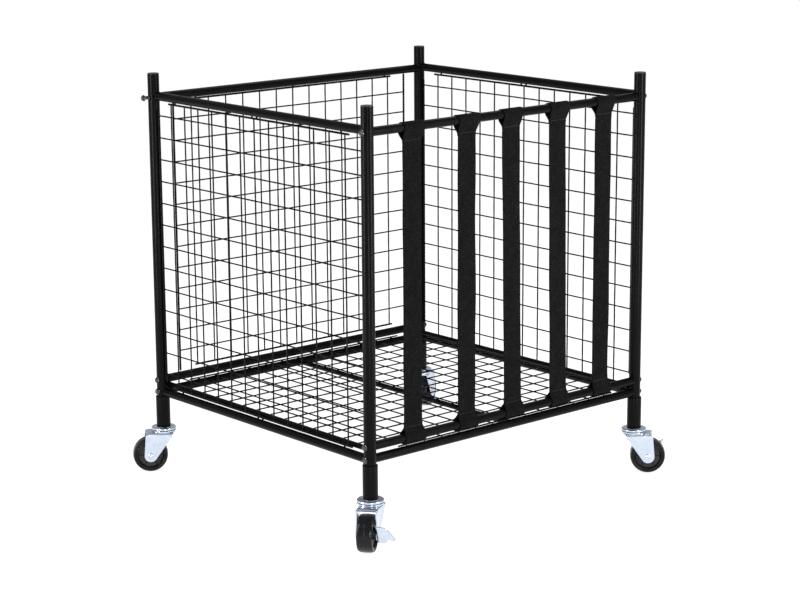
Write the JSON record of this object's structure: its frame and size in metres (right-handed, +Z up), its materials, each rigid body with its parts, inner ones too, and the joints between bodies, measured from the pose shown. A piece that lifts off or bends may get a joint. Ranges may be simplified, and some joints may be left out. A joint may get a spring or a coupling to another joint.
{
  "type": "rolling cage cart",
  "caption": "Open-topped wire cage cart on swivel casters, with elastic straps closing the front and brakes on the front casters.",
  "frame": {"origin": "on the floor under the middle of the whole cart, casters and brake levers included", "axes": "+Z up, the strapped front faces -Y, +X to the right seen from the front"},
  "size_m": [0.7009, 0.6481, 0.686],
  "materials": {
    "powder_coat": "semi-gloss black powder coat",
    "black_bolt": "black plated steel bolts",
    "zinc": "bright zinc plate",
    "wheel": "glossy moulded plastic",
    "webbing": "woven elastic"
  },
  "bodies": {
    "frame": {"post_front_left": "powder_coat", "leg_front_left": "powder_coat", "post_front_right": "powder_coat", "leg_front_right": "powder_coat", "post_rear_left": "powder_coat", "leg_rear_left": "powder_coat", "post_rear_right": "powder_coat", "leg_rear_right": "powder_coat", "rail_top_front": "powder_coat", "rail_top_rear": "powder_coat", "rail_low_front": "powder_coat", "rail_low_rear": "powder_coat", "rail_base_front": "powder_coat", "rail_base_rear": "powder_coat", "rail_top_left": "powder_coat", "rail_top_right": "powder_coat", "rail_base_left": "powder_coat", "rail_base_right": "powder_coat", "floor_tube_left": "powder_coat", "floor_tube_right": "powder_coat", "floor_brace": "powder_coat", "mesh_left": "powder_coat", "mesh_right": "powder_coat", "mesh_rear": "powder_coat", "mesh_floor": "powder_coat", "strap_1": "webbing", "strap_2": "webbing", "strap_3": "webbing", "strap_4": "webbing", "strap_5": "webbing", "bolt_top_front_left": "black_bolt", "bolt_low_front_left": "black_bolt", "bolt_base_front_left": "black_bolt", "bolt_top_front_right": "black_bolt", "bolt_low_front_right": "black_bolt", "bolt_base_front_right": "black_bolt", "bolt_top_rear_left": "black_bolt", "bolt_low_rear_left": "black_bolt", "bolt_base_rear_left": "black_bolt", "bolt_top_rear_right": "black_bolt", "bolt_low_rear_right": "black_bolt", "bolt_base_rear_right": "black_bolt", "caster_plate_front_left": "zinc", "caster_plate_front_right": "zinc", "caster_plate_rear_left": "zinc", "caster_plate_rear_right": "zinc"},
    "swivel_front_left": {"caster_fork_front_left": "zinc", "caster_axle_front_left": "zinc"},
    "wheel_front_left": {"caster_wheel_front_left": "wheel"},
    "brake_front_left": {"brake_lever_front_left": "zinc"},
    "swivel_front_right": {"caster_fork_front_right": "zinc", "caster_axle_front_right": "zinc"},
    "wheel_front_right": {"caster_wheel_front_right": "wheel"},
    "brake_front_right": {"brake_lever_front_right": "zinc"},
    "swivel_rear_left": {"caster_fork_rear_left": "zinc", "caster_axle_rear_left": "zinc"},
    "wheel_rear_left": {"caster_wheel_rear_left": "wheel"},
    "swivel_rear_right": {"caster_fork_rear_right": "zinc", "caster_axle_rear_right": "zinc"},
    "wheel_rear_right": {"caster_wheel_rear_right": "wheel"}
  },
  "joints": [
    {"name": "swivel_front_left", "type": "hinge", "parent": "frame", "child": "swivel_front_left", "pos_m": [-0.2995, -0.2647, 0.072], "axis": [0, 0, 1], "continuous": true},
    {"name": "spin_front_left", "type": "hinge", "parent": "swivel_front_left", "child": "wheel_front_left", "pos_m": [-0.31846, -0.27941, 0.03], "axis": [0.6129, -0.7902, 0], "continuous": true},
    {"name": "brake_front_left", "type": "hinge", "parent": "swivel_front_left", "child": "brake_front_left", "pos_m": [-0.31846, -0.27941, 0.03], "axis": [0.6129, -0.7902, 0], "range_deg": [0, 25]},
    {"name": "swivel_front_right", "type": "hinge", "parent": "frame", "child": "swivel_front_right", "pos_m": [0.2905, -0.2647, 0.072], "axis": [0, 0, 1], "continuous": true},
    {"name": "spin_front_right", "type": "hinge", "parent": "swivel_front_right", "child": "wheel_front_right", "pos_m": [0.30776, -0.28137, 0.03], "axis": [0.6947, 0.7193, 0], "continuous": true},
    {"name": "brake_front_right", "type": "hinge", "parent": "swivel_front_right", "child": "brake_front_right", "pos_m": [0.30776, -0.28137, 0.03], "axis": [0.6947, 0.7193, 0], "range_deg": [0, 25]},
    {"name": "swivel_rear_left", "type": "hinge", "parent": "frame", "child": "swivel_rear_left", "pos_m": [-0.2995, 0.2843, 0.072], "axis": [0, 0, 1], "continuous": true},
    {"name": "spin_rear_left", "type": "hinge", "parent": "swivel_rear_left", "child": "wheel_rear_left", "pos_m": [-0.31985, 0.29702, 0.03], "axis": [-0.5299, -0.848, 0], "continuous": true},
    {"name": "swivel_rear_right", "type": "hinge", "parent": "frame", "child": "swivel_rear_right", "pos_m": [0.2905, 0.2843, 0.072], "axis": [0, 0, 1], "continuous": true},
    {"name": "spin_rear_right", "type": "hinge", "parent": "swivel_rear_right", "child": "wheel_rear_right", "pos_m": [0.31179, 0.29538, 0.03], "axis": [-0.4617, 0.887, 0], "continuous": true}
  ]
}
